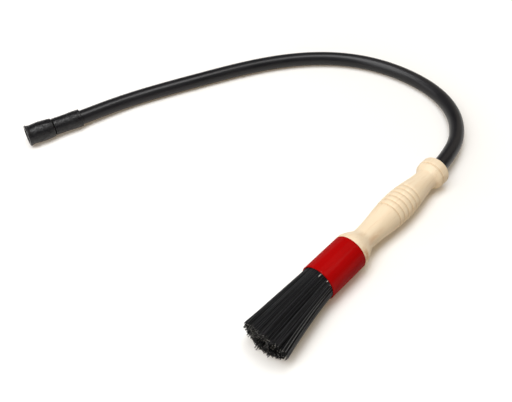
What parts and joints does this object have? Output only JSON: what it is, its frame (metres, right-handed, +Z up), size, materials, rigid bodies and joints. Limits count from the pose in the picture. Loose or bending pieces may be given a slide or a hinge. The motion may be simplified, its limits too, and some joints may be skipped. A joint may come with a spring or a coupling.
{
  "type": "parts washer brush",
  "caption": "Flow-through parts washer brush with a turned wooden handle, a red ferrule, black nylon bristles and a black feed hose ending in a rubber push-on connector.",
  "frame": {"origin": "middle of the brush's footprint on the table, without the hose and its connector", "axes": "+X along the brush toward the handle's hose end, +Z up from the table, +Y to the side that the hose is laid on"},
  "size_m": [0.3209, 0.3224, 0.0333],
  "materials": {
    "wood": "satin",
    "red": "gloss",
    "resin": "matte",
    "bristle": "satin",
    "hose": "satin",
    "rubber": "matte"
  },
  "bodies": {
    "root": {"handle": "wood", "ferrule": "red", "setting_plug": "resin", "bristle_outer_01": "bristle", "bristle_outer_02": "bristle", "bristle_outer_03": "bristle", "bristle_outer_04": "bristle", "bristle_outer_05": "bristle", "bristle_outer_06": "bristle", "bristle_outer_07": "bristle", "bristle_outer_08": "bristle", "bristle_outer_09": "bristle", "bristle_outer_10": "bristle", "bristle_outer_11": "bristle", "bristle_outer_12": "bristle", "bristle_outer_13": "bristle", "bristle_outer_14": "bristle", "bristle_outer_15": "bristle", "bristle_outer_16": "bristle", "bristle_outer_17": "bristle", "bristle_outer_18": "bristle", "bristle_outer_19": "bristle", "bristle_outer_20": "bristle", "bristle_inner_01": "bristle", "bristle_inner_02": "bristle", "bristle_inner_03": "bristle", "bristle_inner_04": "bristle", "bristle_inner_05": "bristle", "bristle_inner_06": "bristle", "bristle_inner_07": "bristle", "bristle_inner_08": "bristle", "bristle_inner_09": "bristle", "bristle_inner_10": "bristle", "bristle_inner_11": "bristle", "bristle_inner_12": "bristle", "hose": "hose", "connector_sleeve": "rubber", "connector_socket": "rubber"}
  },
  "joints": []
}
